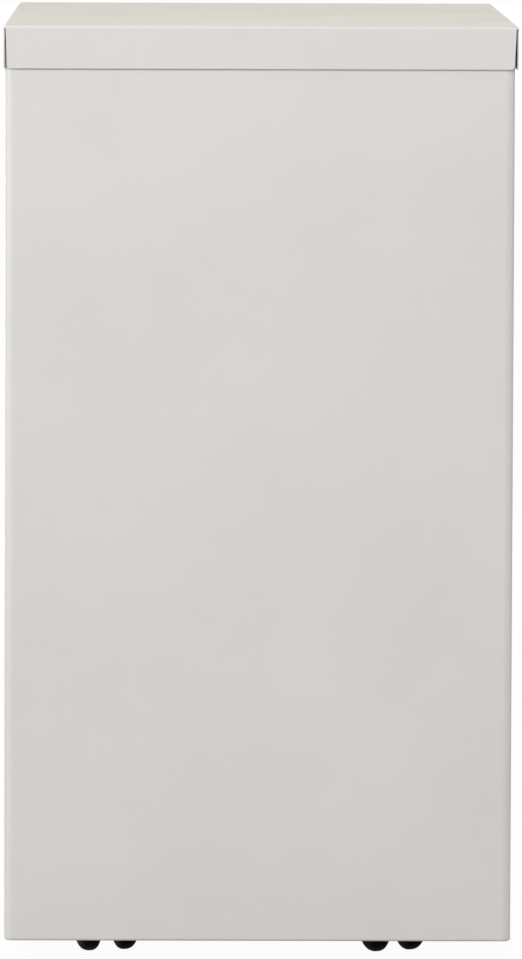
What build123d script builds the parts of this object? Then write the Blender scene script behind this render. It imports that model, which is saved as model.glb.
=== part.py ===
from build123d import *
import math
import os

# Steel mobile pedestal with two box drawers and one file drawer on twin-wheel casters.
# Millimetres. Origin on the floor under the middle of the case. +Z up, drawers open towards -Y,
# the plain back panel faces +Y.

# ---------------------------------------------------------------- driving dimensions
CASE_WIDTH = 381.0          # outside of the wrapped case, side to side
OVERALL_DEPTH = 581.0       # front lip of the cap to its back lip
OVERALL_HEIGHT = 705.0      # floor to the top of the cap
FLOOR_CLEARANCE = 16.5      # floor to the lower edge of the case
CAP_LIP = 32.8              # height of the cap's turned-down lips
FRONT_DEPTH = 18.0          # thickness of a drawer front
PULL_HEIGHT = 25.0          # height of the full-width finger pull on each front
FILE_SHARE = 0.5            # the file drawer's share of the stack of fronts
WHEEL_RADIUS = 20.0
WHEEL_WIDTH = 14.0
CASTER_TRAIL = 17.0
WHEEL_SHOULDER_OUTER = 7.0  # rounding of the tread towards the wheel's outer face
WHEEL_SHOULDER_INNER = 5.0
CASTER_INSET_SIDE = 81.0    # case side to caster stem

# Swivel of each caster at rest, in degrees. Zero trails straight towards the front.
CASTER_TURN = {"rear_left": 22.0, "rear_right": 16.5, "front_left": 328.0, "front_right": 204.0}

# ---------------------------------------------------------------- sheet, bends and clearances
SHEET = 0.9
HEAVY_SHEET = 1.2
BASE_SHEET = 1.5
CASE_BEND = 6.5             # outside radius of the case's two back corners
FRONT_BEND = 3.0            # outside radius of the case's front edges, beside the drawers
TOP_BEND = 2.0              # outside radius of the case's top flange
CAP_BEND = 2.5
CAP_GAP_SIDE = 0.8
CAP_GAP_END = 0.8
CAP_SHIFT = -0.75           # the cap sits this far to one side of the case
BACK_LIP_INSET = 1.2        # case side to the end of the back lip, at its lower edge
BACK_LIP_TAPER = 1.4        # each end of the back lip reaches this much further at the top
LIP_EDGE = 0.6              # rounding of the back lip's outer edges
LIP_CORNER = 3.0
RETURN_FLANGE = 12.0
FOOT_BEND = 1.8             # outside radius of the turned-in lower edge
FOOT_FLANGE = 4.5           # width of the turned-in lower edge, short enough for the casters to swing
FRONT_EDGE = 2.0            # rounding of the upright edges of each drawer front
PULL_LIP = 9.0              # height of the low lip in front of a finger pull
TUB_RIM = 2.4               # thickness of a tub's folded rim
TUB_RIM_DEPTH = 8.0
UPRIGHT_SPACE = 11.9        # case side to the face that carries the slides
WEIGHT_HALF = 170.0         # half length of the counterweight
WEIGHT_DEPTH = 34.0
WEIGHT_HEIGHT = 80.0
TRAY_LENGTH = 112.0
TRAY_DEPTH = 24.0
TRAY_WALL = 2.0
TRAY_CELL_HALF = 60.0       # half width of the tray's middle cell
FOLDER_RAIL_X = 156.0
FOLDER_RAIL = 2.4           # thickness of a folder rail
FRONT_GAP = 3.0             # between neighbouring fronts
CAP_FRONT_GAP = 2.0
CLOSED_GAP = 1.5            # closed drawer front to case
SLIDE_SPACE = 12.7
SLIDE_HEIGHT = 45.0
RUNNING = 0.05              # radial clearance of shafts that turn
TUB_LIFT = 12.0             # lower edge of a front to the bottom of its tub
STEM_RADIUS = 4.6           # caster stem, where it passes through the base pan
CASTER_HEAD = 12.0          # top of a wheel to the top of the base pan
CASTER_SWING = 19.5         # caster sweep to the cabinet's front or back
TUB_REAR_SPACE = 81.0       # cabinet depth less the file drawer's slides, room for the counterweight
BOX_SLIDE_LESS = 50.0       # how much shorter a box drawer's slides are
BOX_TUB_LESS = 47.5         # front height less tub height, box drawers
FILE_TUB_LESS = 55.0        # front height less tub height, file drawer
BOX_OVERLAP = 110.0         # length of slide left engaged when a box drawer is open
FILE_OVERLAP = 10.0

# ---------------------------------------------------------------- derived positions
HALF_W = CASE_WIDTH / 2
Y_FRONT = -OVERALL_DEPTH / 2
Y_BACK = OVERALL_DEPTH / 2
Z_TOP = OVERALL_HEIGHT
Z_LIP = Z_TOP - CAP_LIP
Y_CASE_BACK = Y_BACK - SHEET - CAP_GAP_END
Y_FRONT_REAR = Y_FRONT + FRONT_DEPTH
Y_CASE_FRONT = Y_FRONT_REAR + CLOSED_GAP
Z_CASE_TOP = Z_TOP - SHEET
X_WALL = HALF_W - SHEET
X_UPRIGHT = X_WALL - UPRIGHT_SPACE
X_TUB = X_UPRIGHT - SLIDE_SPACE

BASE_HEIGHT = 2 * WHEEL_RADIUS + CASTER_HEAD      # top of the base pan and of the toe rail
CASTER_INSET_END = WHEEL_RADIUS + CASTER_TRAIL + CASTER_SWING
FILE_SLIDE_LENGTH = OVERALL_DEPTH - TUB_REAR_SPACE
BOX_SLIDE_LENGTH = FILE_SLIDE_LENGTH - BOX_SLIDE_LESS
BOX_TRAVEL = BOX_SLIDE_LENGTH - BOX_OVERLAP
FILE_TRAVEL = FILE_SLIDE_LENGTH - FILE_OVERLAP

STACK_LOW = BASE_HEIGHT + FRONT_GAP
STACK_HIGH = Z_LIP - CAP_FRONT_GAP
STACK = STACK_HIGH - STACK_LOW - 2 * FRONT_GAP
FILE_FRONT = STACK * FILE_SHARE
BOX_FRONT = (STACK - FILE_FRONT) / 2
FILE_LOW = STACK_LOW
MIDDLE_LOW = FILE_LOW + FILE_FRONT + FRONT_GAP
UPPER_LOW = MIDDLE_LOW + BOX_FRONT + FRONT_GAP
BOX_TUB_HEIGHT = BOX_FRONT - BOX_TUB_LESS
FILE_TUB_HEIGHT = FILE_FRONT - FILE_TUB_LESS
RAIL_FRONT = Y_CASE_FRONT + 3.0

BOX_SLIDE_RISE = 35.0       # bottom of a box tub to the middle of its slides
FILE_SLIDE_RISE = 90.0

LOCK_X = HALF_W - 32.5
LOCK_Z = Z_LIP + CAP_LIP / 2
LOCK_PIN_ARM = 11.0
LOCK_BEZEL = 12.0           # radii of the lock's bezel, barrel and plug, and of the hole for it
LOCK_BARREL = 9.5
LOCK_PLUG = 6.5
LOCK_HOLE = 9.7
LOCK_TAIL_HALF = 3.0        # half width of the plug's square tail
LOCK_TRAVEL = 2 * LOCK_PIN_ARM * math.sin(math.radians(45))

PARTS = "parts"
os.makedirs(PARTS, exist_ok=True)


# ---------------------------------------------------------------- helpers
def block(x0, x1, y0, y1, z0, z1):
    """Box between two corners."""
    middle = Pos((x0 + x1) / 2, (y0 + y1) / 2, (z0 + z1) / 2)
    return middle * Box(abs(x1 - x0), abs(y1 - y0), abs(z1 - z0))


def rod_x(radius, x0, x1, y, z):
    return Pos((x0 + x1) / 2, y, z) * Rot(0, 90, 0) * Cylinder(radius, abs(x1 - x0))


def rod_y(radius, y0, y1, x, z):
    return Pos(x, (y0 + y1) / 2, z) * Rot(90, 0, 0) * Cylinder(radius, abs(y1 - y0))


def rod_z(radius, z0, z1, x, y):
    return Pos(x, y, (z0 + z1) / 2) * Cylinder(radius, abs(z1 - z0))


def pan(x0, x1, y0, y1, z0, z1, front_radius, back_radius, top_radius):
    """Block with rounded upright corners and a rounded top edge."""
    body = block(x0, x1, y0, y1, z0, z1)
    body = fillet(body.edges().filter_by(Axis.Z).group_by(Axis.Y)[0], front_radius)
    body = fillet(body.edges().filter_by(Axis.Z).group_by(Axis.Y)[-1], back_radius)
    return fillet(body.edges().group_by(Axis.Z)[-1], top_radius)


def mirrored(shape, side):
    """The shape as drawn for +X, or its mirror image for -X."""
    return shape if side > 0 else mirror(shape, Plane.YZ)


def save(name, shape):
    solids = shape if isinstance(shape, list) else [shape]
    whole = Compound(children=solids) if len(solids) > 1 else solids[0]
    export_step(whole, os.path.join(PARTS, name + ".step"))


# ---------------------------------------------------------------- case
def case_wrapper():
    """One sheet bent round both sides and the back, with flanges at the front, the top and the foot."""
    outer = pan(-HALF_W, HALF_W, Y_CASE_FRONT, Y_CASE_BACK, FLOOR_CLEARANCE, Z_CASE_TOP,
                FRONT_BEND, CASE_BEND, TOP_BEND)
    outer = fillet(outer.edges().group_by(Axis.Z)[0], FOOT_BEND)
    inner = pan(-X_WALL, X_WALL, Y_CASE_FRONT + SHEET, Y_CASE_BACK - SHEET, FLOOR_CLEARANCE + SHEET,
                Z_CASE_TOP - SHEET, FRONT_BEND - SHEET, CASE_BEND - SHEET, TOP_BEND - SHEET)
    inner = fillet(inner.edges().group_by(Axis.Z)[0], FOOT_BEND - SHEET)
    well = block(-HALF_W + FOOT_FLANGE, HALF_W - FOOT_FLANGE, Y_CASE_FRONT - 1, Y_CASE_BACK - FOOT_FLANGE,
                 FLOOR_CLEARANCE - 1, FLOOR_CLEARANCE + 2 * FOOT_BEND)
    inside = HALF_W - RETURN_FLANGE
    doorway = block(-inside, inside, Y_CASE_FRONT - 1, Y_CASE_FRONT + 6, FLOOR_CLEARANCE - 1, Z_TOP)
    skylight = block(-inside, inside, Y_CASE_FRONT + 2, Y_CASE_BACK - RETURN_FLANGE,
                     Z_CASE_TOP - 2, Z_TOP)
    foot = block(-HALF_W - 1, HALF_W + 1, Y_CASE_FRONT - 1, Y_CASE_FRONT + FRONT_BEND,
                 FLOOR_CLEARANCE - 1, BASE_HEIGHT + 1)
    return outer - inner - doorway - skylight - foot - well


def top_cap():
    """Shallow lid that drops over the case, open at its two back corners."""
    half = HALF_W + CAP_GAP_SIDE + SHEET
    lid = pan(-half, half, Y_FRONT, Y_BACK, Z_LIP, Z_TOP, CAP_BEND, CAP_BEND, CAP_BEND)
    inner_bend = CAP_BEND - SHEET
    void = pan(-half + SHEET, half - SHEET, Y_FRONT + SHEET, Y_BACK - SHEET, Z_LIP - 5, Z_TOP - SHEET,
               inner_bend, inner_bend, inner_bend)
    below_bend = Z_TOP - CAP_BEND - 0.2
    back_cut = block(-half - 1, half + 1, Y_BACK - CAP_BEND, Y_BACK + 1, Z_LIP - 1, below_bend)
    low_half = HALF_W - BACK_LIP_INSET
    high_half = low_half + BACK_LIP_TAPER
    lip_top = below_bend + 0.1
    outline = Polyline((-low_half, Z_LIP), (low_half, Z_LIP), (high_half, lip_top), (-high_half, lip_top),
                       close=True)
    outer_face = Plane(origin=(0, Y_BACK, 0), x_dir=(1, 0, 0), z_dir=(0, -1, 0))
    lip = extrude(outer_face * make_face(outline), SHEET)
    lip = fillet(lip.edges().filter_by(Axis.Y).group_by(Axis.Z)[0], LIP_CORNER)
    rim = lip.faces().sort_by(Axis.Y)[-1].edges().sort_by(Axis.Z)[:-1]
    lip = fillet(rim, LIP_EDGE)
    lock_hole = rod_y(LOCK_HOLE, Y_FRONT - 2, Y_FRONT + 4, LOCK_X - CAP_SHIFT, LOCK_Z)
    return Pos(CAP_SHIFT, 0, 0) * (lid - void - back_cut + lip - lock_hole)


def base_pan():
    """Pressed floor of the cabinet. Its front flange is the toe rail."""
    front = Y_FRONT + 1.0
    back = Y_CASE_BACK - SHEET
    outer = block(-X_WALL, X_WALL, front, back, FLOOR_CLEARANCE, BASE_HEIGHT)
    outer = fillet(outer.edges().filter_by(Axis.Z).group_by(Axis.Y)[-1], CASE_BEND - SHEET)
    outer = fillet(outer.edges().filter_by(Axis.X).group_by(Axis.Y)[0].group_by(Axis.Z)[-1], 2.5)
    inner = block(-X_WALL + BASE_SHEET, X_WALL - BASE_SHEET, front + BASE_SHEET, back - BASE_SHEET,
                  FLOOR_CLEARANCE - 5, BASE_HEIGHT - BASE_SHEET)
    inner = fillet(inner.edges().filter_by(Axis.Z).group_by(Axis.Y)[-1], CASE_BEND - SHEET - BASE_SHEET)
    short = block(-X_WALL - 1, X_WALL + 1, Y_CASE_FRONT, back + 1, FLOOR_CLEARANCE - 1,
                  FLOOR_CLEARANCE + 10)
    pan_part = outer - inner - short
    for x, y in CASTER_STEMS.values():
        pan_part = pan_part - rod_z(STEM_RADIUS, BASE_HEIGHT - 5, BASE_HEIGHT + 5, x, y)
    return pan_part


def front_top_rail():
    """Channel behind the cap's front lip. It carries the lock."""
    face = Y_FRONT + SHEET
    half = HALF_W - RETURN_FLANGE - 0.5
    wide = HALF_W - 1.5
    depth_end = Y_CASE_FRONT + 21.0
    low = Z_LIP + 1.0
    front_box = block(-wide, wide, face, Y_CASE_FRONT, low, Z_CASE_TOP)
    front_box = fillet(front_box.edges().filter_by(Axis.X).group_by(Axis.Y)[0], 1.8)
    rear_box = block(-half, half, Y_CASE_FRONT - 1, depth_end, low, Z_CASE_TOP)
    hollow = block(-wide - 1, wide + 1, face + HEAVY_SHEET, depth_end + 1, low + HEAVY_SHEET,
                   Z_CASE_TOP - HEAVY_SHEET)
    hole = rod_y(LOCK_HOLE, face - 2, face + 4, LOCK_X, LOCK_Z)
    return front_box + rear_box - hollow - hole


UPRIGHT_DEPTH = 30.0
SCREW_RADIUS = 2.0
SCREW_HEAD = 3.4
UPRIGHT_Y = {"front": Y_CASE_FRONT + SHEET, "rear": RAIL_FRONT + BOX_SLIDE_LENGTH - UPRIGHT_DEPTH - 2.0}
HOOK_TOP_ABOVE_SLIDE = 40.5     # top of a lock stud above the middle of its slide
STUD_HEIGHT = 14.0
STUD_WALL = 1.5
HOOK_GAP = 3.0
HOOK_HEIGHT = 8.0
LOCK_BAR_X = X_UPRIGHT + 2.8
LOCK_BAR_Y = Y_CASE_FRONT + 9.0


def slide_middles():
    """Height of the middle of each pair of slides."""
    return {
        "upper": UPPER_LOW + TUB_LIFT + BOX_SLIDE_RISE,
        "middle": MIDDLE_LOW + TUB_LIFT + BOX_SLIDE_RISE,
        "file": FILE_LOW + TUB_LIFT + FILE_SLIDE_RISE,
    }


def countersink(y, z):
    """Head of a slide screw, which is also the shape of its seat in the rail."""
    where = Pos(X_UPRIGHT - HEAVY_SHEET / 2, y, z) * Rot(0, 90, 0)
    return where * Cone(SCREW_HEAD, SCREW_RADIUS, HEAVY_SHEET)


def screw_places():
    """Centre of every slide screw, for the +X side."""
    return [(UPRIGHT_Y[end] + offset, z) for z in slide_middles().values()
            for end, offset in (("front", 25.6), ("rear", 15.0))]


def upright(end, side):
    """Channel that ties the slides to the case side."""
    y0 = UPRIGHT_Y[end]
    y1 = y0 + UPRIGHT_DEPTH
    top = Z_LIP + 0.5
    body = block(X_UPRIGHT, X_WALL, y0, y1, BASE_HEIGHT, top)
    hollow = block(X_UPRIGHT + HEAVY_SHEET, X_WALL + 1, y0 + HEAVY_SHEET, y1 - HEAVY_SHEET,
                   BASE_HEIGHT - 1, top + 1)
    body = body - hollow
    if end == "front":
        body = body - block(X_WALL - FRONT_BEND + SHEET - 0.2, X_WALL + 1, y0 - 1, y0 + HEAVY_SHEET + 0.5,
                            BASE_HEIGHT - 1, top + 1)
    for y, z in screw_places():
        if y0 < y < y1:
            body = body - rod_x(SCREW_RADIUS, X_UPRIGHT - 1, X_UPRIGHT + 3, y, z)
    if end == "front" and side > 0:
        for middle in slide_middles().values():
            stud_top = middle + HOOK_TOP_ABOVE_SLIDE
            body = body - block(X_UPRIGHT - 1, X_UPRIGHT + HEAVY_SHEET + 0.5, LOCK_BAR_Y - 2,
                                LOCK_BAR_Y + 6.5, stud_top + HOOK_GAP - LOCK_TRAVEL - 1.5,
                                stud_top + HOOK_GAP + HOOK_HEIGHT + 1.5)
    return mirrored(body, side)


def counterweight():
    """Cast bar on the base pan behind the file drawer."""
    rear = Y_CASE_BACK - SHEET - 4.4
    bar = block(-WEIGHT_HALF, WEIGHT_HALF, rear - WEIGHT_DEPTH, rear,
                BASE_HEIGHT, BASE_HEIGHT + WEIGHT_HEIGHT)
    return chamfer(bar.edges().group_by(Axis.Z)[-1], 2.0)


def slide_screws():
    """Countersunk screws that hold the slides' rails to the uprights."""
    screws = []
    for side in (1, -1):
        for y, z in screw_places():
            shank = rod_x(SCREW_RADIUS, X_UPRIGHT - HEAVY_SHEET / 2, X_UPRIGHT + 2.3, y, z)
            screws.append(mirrored(shank + countersink(y, z), side))
    return screws


CASTER_STEMS = {
    "rear_left": (-HALF_W + CASTER_INSET_SIDE, Y_BACK - CASTER_INSET_END),
    "rear_right": (HALF_W - CASTER_INSET_SIDE, Y_BACK - CASTER_INSET_END),
    "front_left": (-HALF_W + CASTER_INSET_SIDE, Y_FRONT + CASTER_INSET_END),
    "front_right": (HALF_W - CASTER_INSET_SIDE, Y_FRONT + CASTER_INSET_END),
}
STEM_SEAT = BASE_HEIGHT - BASE_SHEET
STEM_FLANGE = 2.0
STEM_PIN_RADIUS = 4.0
STEM_PIN_LOW = STEM_SEAT - 20.5


def caster_stems():
    """Threaded stems, each with its flange under the pan, its nut above and its pivot below."""
    stems = []
    for x, y in CASTER_STEMS.values():
        flange = rod_z(9.0, STEM_SEAT - STEM_FLANGE, STEM_SEAT, x, y)
        shank = rod_z(STEM_RADIUS, STEM_SEAT - 0.5, BASE_HEIGHT + 0.5, x, y)
        stud = rod_z(4.0, BASE_HEIGHT, BASE_HEIGHT + 10, x, y)
        nut = extrude(Pos(x, y, BASE_HEIGHT) * RegularPolygon(7.5, 6), 6.0)
        pivot = rod_z(STEM_PIN_RADIUS, STEM_PIN_LOW, STEM_SEAT, x, y)
        pivot = chamfer(pivot.edges().group_by(Axis.Z)[0], 0.6)
        stems.append(flange + shank + stud + nut + pivot)
    return stems


# ---------------------------------------------------------------- slides
RAIL_FLANGE = 8.8
RUNNER_HALF = 16.5          # half height of the member that runs inside the rail
INNER_HALF = 10.5           # half height of the file drawer's own member


def channel(x0, x1, half_height, y0, y1, z, wall, opens_to_tub):
    """Straight C-shaped member along Y with its web on one side."""
    body = block(x0, x1, y0, y1, z - half_height, z + half_height)
    if opens_to_tub:
        x0, x1 = x0 - 1, x1 - wall
    else:
        x0, x1 = x0 + wall, x1 + 1
    return body - block(x0, x1, y0 - 1, y1 + 1, z - half_height + wall, z + half_height - wall)


def slide_rail(length, z, side):
    """Cabinet member of a slide."""
    rail = channel(X_UPRIGHT - RAIL_FLANGE, X_UPRIGHT, SLIDE_HEIGHT / 2, RAIL_FRONT, RAIL_FRONT + length,
                   z, HEAVY_SHEET, True)
    for y, screw_z in screw_places():
        if abs(screw_z - z) < 1:
            rail = rail - countersink(y, z)
    end = RAIL_FRONT + length
    stop = block(X_UPRIGHT - 6, X_UPRIGHT - 1, end - 2, end, z - 12, z + 12)
    return mirrored(rail + stop, side)


def slide_runner(length, z, side, half_height, reach):
    """Drawer member of a slide."""
    runner = channel(X_TUB, X_TUB + reach, half_height, Y_FRONT_REAR + SHEET, Y_FRONT_REAR + SHEET + length,
                     z, HEAVY_SHEET, False)
    return mirrored(runner, side)


def slide_link(z, side):
    """Middle member of the file drawer's slides."""
    link = channel(X_TUB + 2.4, X_UPRIGHT - 2.1, RUNNER_HALF, RAIL_FRONT + 2,
                   RAIL_FRONT + FILE_SLIDE_LENGTH - 18, z, 1.0, True)
    return mirrored(link, side)


BALL_RADIUS = 2.35


def ball_cages(z, middle_height, x, y0, count, pitch):
    """Ball retainers above and below, on both sides of one drawer."""
    cages = []
    for side in (1, -1):
        for level in (1, -1):
            height = z + level * middle_height
            strip = block(x - 2.0, x + 2.0, y0, y0 + count * pitch, height - 0.5, height + 0.5)
            for i in range(count):
                strip = strip + Pos(x, y0 + (i + 0.5) * pitch, height) * Sphere(BALL_RADIUS)
            cages.append(mirrored(strip, side))
    return cages


# ---------------------------------------------------------------- drawers
def drawer_front(low, height, tub_height):
    """Hollow pan with a window at the back, which the tub's front wall closes."""
    top = low + height - PULL_HEIGHT
    outer = block(-HALF_W, HALF_W, Y_FRONT, Y_FRONT_REAR, low, top)
    outer = fillet(outer.edges().filter_by(Axis.Z).group_by(Axis.Y)[0], FRONT_EDGE)
    outer = fillet(outer.edges().group_by(Axis.Z)[0].filter_by(Axis.X).group_by(Axis.Y)[0], 1.5)
    side = HALF_W - 1.3
    inner = block(-side, side, Y_FRONT + SHEET, Y_FRONT_REAR - SHEET, low + 1.1, top - SHEET)
    sill = low + TUB_LIFT + 10
    lintel = min(low + TUB_LIFT + tub_height - 10, top - 8)
    window = block(-X_TUB + 12, X_TUB - 12, Y_FRONT_REAR - 2, Y_FRONT_REAR + 1, sill, lintel)
    return outer - inner - window


def drawer_pull(low, height):
    """Full-width channel along the top of a front. Fingers reach in behind its low lip."""
    base = low + height - PULL_HEIGHT
    top = low + height
    body = block(-HALF_W, HALF_W, Y_FRONT, Y_FRONT_REAR, base, top)
    body = fillet(body.edges().filter_by(Axis.Z).group_by(Axis.Y)[0], FRONT_EDGE)
    side = HALF_W - 1.5
    scoop = block(-side, side, Y_FRONT + 1.6, Y_FRONT_REAR - HEAVY_SHEET, base + 1.5, top + 1)
    scoop = fillet(scoop.edges().group_by(Axis.Z)[0].filter_by(Axis.X), 5.0)
    mouth = block(-side, side, Y_FRONT - 1, Y_FRONT + 5, base + PULL_LIP, top + 1)
    body = body - scoop - mouth
    lip_top = base + PULL_LIP
    rim = body.edges().filter_by(Axis.X).filter_by_position(Axis.Z, lip_top - 0.1, lip_top + 0.1)
    return fillet(rim, 0.6)


def drawer_tub(low, length, height, rise):
    """Open steel box with folded rims and a stud for the lock bar."""
    z0 = low + TUB_LIFT
    z1 = z0 + height
    y0 = Y_FRONT_REAR
    y1 = y0 + length
    outer = block(-X_TUB, X_TUB, y0, y1, z0, z1)
    inner = block(-X_TUB + SHEET, X_TUB - SHEET, y0 + SHEET, y1 - SHEET, z0 + SHEET, z1 + 1)
    tub = outer - inner
    rim_outer = block(-X_TUB, X_TUB, y0, y1, z1 - TUB_RIM_DEPTH, z1)
    rim_inner = block(-X_TUB + TUB_RIM, X_TUB - TUB_RIM, y0 + TUB_RIM, y1 - TUB_RIM,
                      z1 - TUB_RIM_DEPTH - 1, z1 + 1)
    tub = tub + (rim_outer - rim_inner)
    stud_top = z0 + rise + HOOK_TOP_ABOVE_SLIDE
    stud_low = stud_top - STUD_HEIGHT
    stud_y = LOCK_BAR_Y + 6
    stud = block(X_TUB - 0.4, X_TUB + 9.5, stud_y, stud_y + 6, stud_low, stud_top)
    stud = stud - block(X_TUB + STUD_WALL, X_TUB + 9.5 - STUD_WALL, stud_y - 1, stud_y + 6 - STUD_WALL,
                        stud_low - 1, stud_top - STUD_WALL)
    return tub + stud


def pencil_tray(low):
    """Moulded tray that hangs on the tub's rims and slides front to back."""
    rim = low + TUB_LIFT + BOX_TUB_HEIGHT
    y0 = Y_FRONT_REAR + 4
    y1 = y0 + TRAY_LENGTH
    top = rim + 1.6
    body_half = X_TUB - TUB_RIM - 1.0
    plate = block(-X_TUB + 0.6, X_TUB - 0.6, y0, y1, rim, top)
    tray = block(-body_half, body_half, y0, y1, rim - TRAY_DEPTH, top)
    tray = fillet(tray.edges().filter_by(Axis.Z), 3.0)
    tray = plate + tray
    side_cell = (TRAY_CELL_HALF + TRAY_WALL, body_half - TRAY_WALL)
    cells = ((-side_cell[1], -side_cell[0]), (-TRAY_CELL_HALF, TRAY_CELL_HALF), side_cell)
    for x0, x1 in cells:
        cell = block(x0, x1, y0 + TRAY_WALL, y1 - TRAY_WALL, rim - TRAY_DEPTH + TRAY_WALL, rim + 3)
        cell = fillet(cell.edges().filter_by(Axis.Z), 4.0)
        cell = fillet(cell.edges().group_by(Axis.Z)[0], 3.0)
        tray = tray - cell
    return tray


def hang_rails():
    """Pair of flat rails for hanging folders, hooked on the file tub's front and back rims."""
    z1 = FILE_LOW + TUB_LIFT + FILE_TUB_HEIGHT
    y0 = Y_FRONT_REAR
    y1 = y0 + FILE_SLIDE_LENGTH
    rails = []
    for x in (-FOLDER_RAIL_X, FOLDER_RAIL_X):
        x0, x1 = x - FOLDER_RAIL / 2, x + FOLDER_RAIL / 2
        bar = block(x0, x1, y0 + TUB_RIM, y1 - TUB_RIM, z1 - 12, z1 + 3)
        for end in (y0, y1 - TUB_RIM):
            bar = bar + block(x0, x1, end, end + TUB_RIM, z1, z1 + 3)
        rails.append(bar)
    return rails


# ---------------------------------------------------------------- lock
LOCK_HOUSING_END = Y_FRONT + 28.0


def lock_housing():
    bezel = rod_y(LOCK_BEZEL, Y_FRONT - 1.5, Y_FRONT, LOCK_X, LOCK_Z)
    bezel = fillet(bezel.edges().group_by(Axis.Y)[0], 0.8)
    barrel = rod_y(LOCK_BARREL, Y_FRONT - 0.5, LOCK_HOUSING_END, LOCK_X, LOCK_Z)
    nut_face = Y_FRONT + SHEET + HEAVY_SHEET
    nut = Plane(origin=(LOCK_X, nut_face, LOCK_Z), z_dir=(0, 1, 0)) * RegularPolygon(12.0, 6)
    body = bezel + barrel + extrude(nut, 5.0)
    return body - rod_y(LOCK_PLUG + RUNNING, Y_FRONT - 3, LOCK_HOUSING_END + 1, LOCK_X, LOCK_Z)


def square_tail(y0, y1):
    t = LOCK_TAIL_HALF
    return block(LOCK_X - t, LOCK_X + t, y0, y1, LOCK_Z - t, LOCK_Z + t)


def lock_plug():
    barrel = rod_y(LOCK_PLUG, Y_FRONT - 1.2, LOCK_HOUSING_END, LOCK_X, LOCK_Z)
    tail = square_tail(LOCK_HOUSING_END - 1, LOCK_HOUSING_END + 4.5)
    keyway = block(LOCK_X - 0.6, LOCK_X + 0.6, Y_FRONT - 2, Y_FRONT + 10, LOCK_Z - 3.8, LOCK_Z + 3.8)
    return barrel + tail - keyway


def lock_cam():
    """Arm on the plug's square tail with a pin that works the lock bar."""
    face = LOCK_HOUSING_END + 1.0
    reach = LOCK_PIN_ARM * math.sin(math.radians(45))
    pin_x, pin_z = LOCK_X + reach, LOCK_Z + reach
    hub = rod_y(7.5, face, face + 2, LOCK_X, LOCK_Z)
    middle = Pos((LOCK_X + pin_x) / 2, face + 1, (LOCK_Z + pin_z) / 2)
    arm = middle * Rot(0, -45, 0) * Box(LOCK_PIN_ARM, 2, 7)
    tip = rod_y(3.5, face, face + 2, pin_x, pin_z)
    pin = rod_y(2.0, face + 1, face + 8, pin_x, pin_z)
    return hub + arm + tip + pin - square_tail(face - 1, face + 3)


def lock_bar():
    """Strip inside the front upright, with a slotted arm for the cam and a hook for each drawer."""
    reach = LOCK_PIN_ARM * math.sin(math.radians(45))
    slot_z = LOCK_Z + reach
    x0, x1 = LOCK_BAR_X, LOCK_BAR_X + 2
    arm_y = LOCK_HOUSING_END + 5.0
    low = slide_middles()["file"] + HOOK_TOP_ABOVE_SLIDE - 20
    strip = block(x0, x1, LOCK_BAR_Y, LOCK_BAR_Y + 14, low, slot_z + 5.5)
    arm = block(LOCK_X + 2.5, x1, arm_y, arm_y + 2, slot_z - 5.5, slot_z + 5.5)
    slot = block(LOCK_X + reach - 2.8, LOCK_X + LOCK_PIN_ARM + 2.8, arm_y - 1, arm_y + 3,
                 slot_z - 2.5, slot_z + 2.5)
    slot = fillet(slot.edges().filter_by(Axis.Y), 0.8)
    bar = strip + arm - slot
    for middle in slide_middles().values():
        low = middle + HOOK_TOP_ABOVE_SLIDE + HOOK_GAP
        bar = bar + block(X_TUB + 6, x0 + 0.5, LOCK_BAR_Y, LOCK_BAR_Y + 4, low, low + HOOK_HEIGHT)
    return bar


# ---------------------------------------------------------------- casters
WEB_HALF = 7.0
WHEEL_GAP_HALF = WEB_HALF + 0.8
WHEEL_OUTER = WHEEL_GAP_HALF + WHEEL_WIDTH
AXLE_HALF = WHEEL_OUTER + 0.3   # to the inner face of each axle head
AXLE_HEAD = 1.0
HOOD_HALF = AXLE_HALF + AXLE_HEAD + 0.3
HOOD_GAP = 1.0                  # tread to the inside of the hood
HOOD_THICKNESS = 1.6
AXLE_RADIUS = 2.5
AXLE_HEAD_RADIUS = 4.5
HUB_RADIUS = 6.5


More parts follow.
